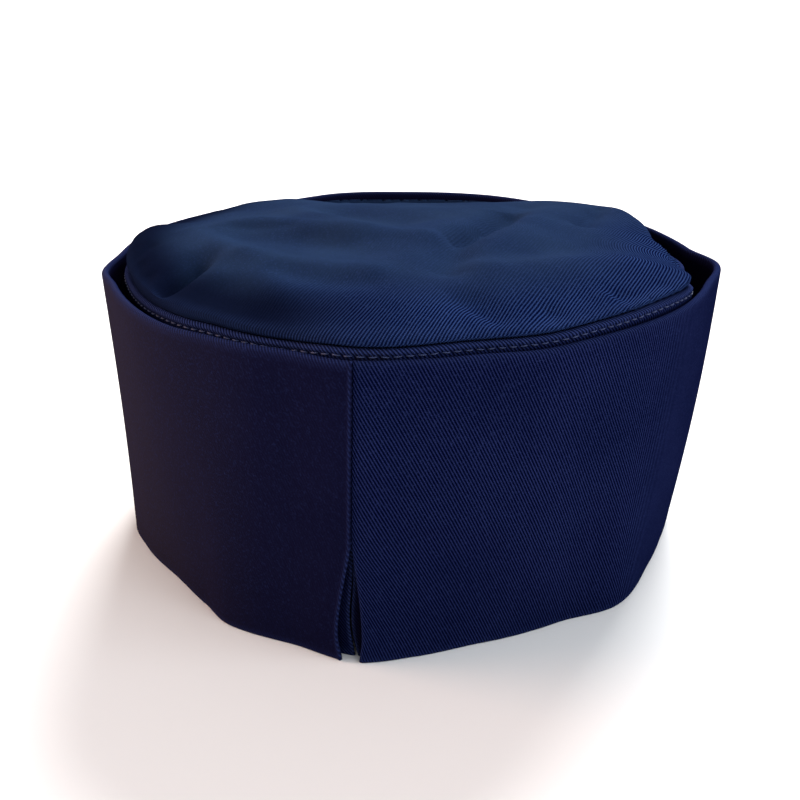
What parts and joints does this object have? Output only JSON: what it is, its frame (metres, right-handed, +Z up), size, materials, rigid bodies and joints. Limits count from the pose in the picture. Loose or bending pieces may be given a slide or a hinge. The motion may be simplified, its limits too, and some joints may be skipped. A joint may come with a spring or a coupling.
{
  "type": "chef hat",
  "caption": "Low round chef's cap of navy twill: a soft crown, an inner side band and a deep turned-up cuff with a vent at the hem.",
  "frame": {"origin": "centre of the box round the cap, on the plane that its hem rests on", "axes": "+Z up through the crown, -Y towards the vented seam at the front, +X to the right of a viewer who faces the vent"},
  "size_m": [0.2028, 0.2006, 0.1087],
  "materials": {
    "crown": "matt cotton twill with a soft sheen",
    "side_band": "matt cotton twill",
    "cuff": "matt cotton twill"
  },
  "bodies": {
    "root": {"crown": "crown", "side_band": "side_band", "cuff": "cuff"}
  },
  "joints": []
}
